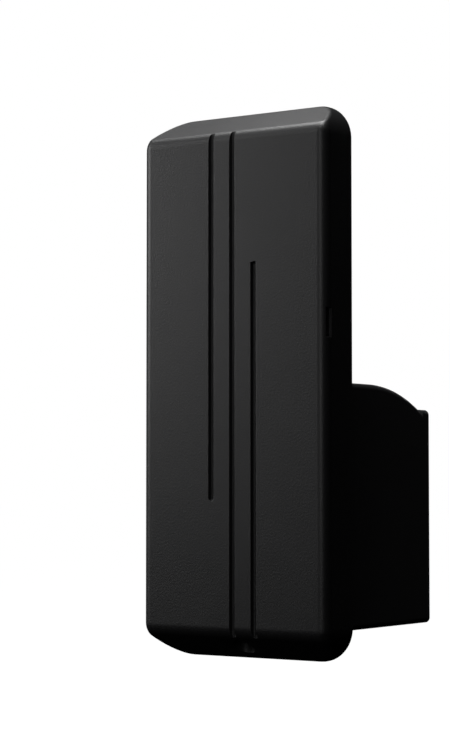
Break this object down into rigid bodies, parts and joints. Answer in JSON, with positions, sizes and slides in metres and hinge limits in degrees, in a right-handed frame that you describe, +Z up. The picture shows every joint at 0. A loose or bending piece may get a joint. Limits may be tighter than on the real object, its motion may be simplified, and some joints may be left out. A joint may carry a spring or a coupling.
{
  "type": "rfid card reader",
  "caption": "Slim wall-mount proximity card reader: grooved slab cover on a deep hooded wiring housing with a wall plate.",
  "frame": {"origin": "centre of the wall plate's flat wall face", "axes": "+Y into the wall, square to the wall face; +Z up along the cover's long side; +X to the right seen from the front; the front faces -Y"},
  "size_m": [0.048, 0.0495, 0.1187],
  "materials": {
    "cover_plastic": "fine spark texture",
    "body_plastic": "satin",
    "seal_rubber": "matte",
    "board_resin": "solder mask",
    "copper": "lacquered",
    "ferrite": "matte",
    "steel": "zinc plated",
    "brass": "turned",
    "chip_resin": "matte",
    "crystal_can": "satin",
    "capacitor_can": "satin",
    "terminal_plastic": "satin",
    "switch_plastic": "satin",
    "slider_plastic": "satin",
    "lens": "milky"
  },
  "bodies": {
    "chassis": {"back_plate": "body_plastic", "cover_gasket": "seal_rubber", "rear_housing": "body_plastic", "housing_gasket": "seal_rubber", "wall_plate": "body_plastic", "cable_grommet": "seal_rubber", "antenna_screws": "steel", "board_screws": "steel", "chassis_screws": "steel", "plate_screws": "steel", "front_inserts": "brass", "rear_inserts": "brass", "antenna_board": "board_resin", "antenna_coil": "copper", "ferrite_sheet": "ferrite", "status_led": "lens", "stacking_socket": "chip_resin", "stacking_header": "chip_resin", "main_board": "board_resin", "microcontroller": "chip_resin", "reader_chip": "chip_resin", "crystal": "crystal_can", "capacitors": "capacitor_can", "regulator": "chip_resin", "buzzer": "chip_resin", "terminal_block": "terminal_plastic", "terminal_screws": "steel", "dip_switch": "switch_plastic", "tamper_case": "body_plastic", "tamper_spring": "steel"},
    "cover": {"front_cover": "cover_plastic", "cover_screw": "steel", "cover_nut": "steel"},
    "plunger": {"tamper_plunger": "slider_plastic"},
    "slider_1": {"dip_slider_1": "slider_plastic"},
    "slider_2": {"dip_slider_2": "slider_plastic"},
    "slider_3": {"dip_slider_3": "slider_plastic"},
    "slider_4": {"dip_slider_4": "slider_plastic"}
  },
  "joints": [
    {"name": "cover_swing", "type": "hinge", "parent": "chassis", "child": "cover", "pos_m": [0, -0.0386, 0.0856], "axis": [-1, 0, 0], "range_deg": [0, 30]},
    {"name": "tamper_press", "type": "slide", "parent": "chassis", "child": "plunger", "axis": [0, -1, 0], "range_m": [0, 0.0022], "stiffness_N_per_m": 150, "springref_m": -0.003, "deforming": ["tamper_spring"]},
    {"name": "slider_1_switch", "type": "slide", "parent": "chassis", "child": "slider_1", "axis": [0, 0, 1], "range_m": [0, 0.0012]},
    {"name": "slider_2_switch", "type": "slide", "parent": "chassis", "child": "slider_2", "axis": [0, 0, 1], "range_m": [0, 0.0012]},
    {"name": "slider_3_switch", "type": "slide", "parent": "chassis", "child": "slider_3", "axis": [0, 0, 1], "range_m": [0, 0.0012]},
    {"name": "slider_4_switch", "type": "slide", "parent": "chassis", "child": "slider_4", "axis": [0, 0, 1], "range_m": [0, 0.0012]}
  ]
}
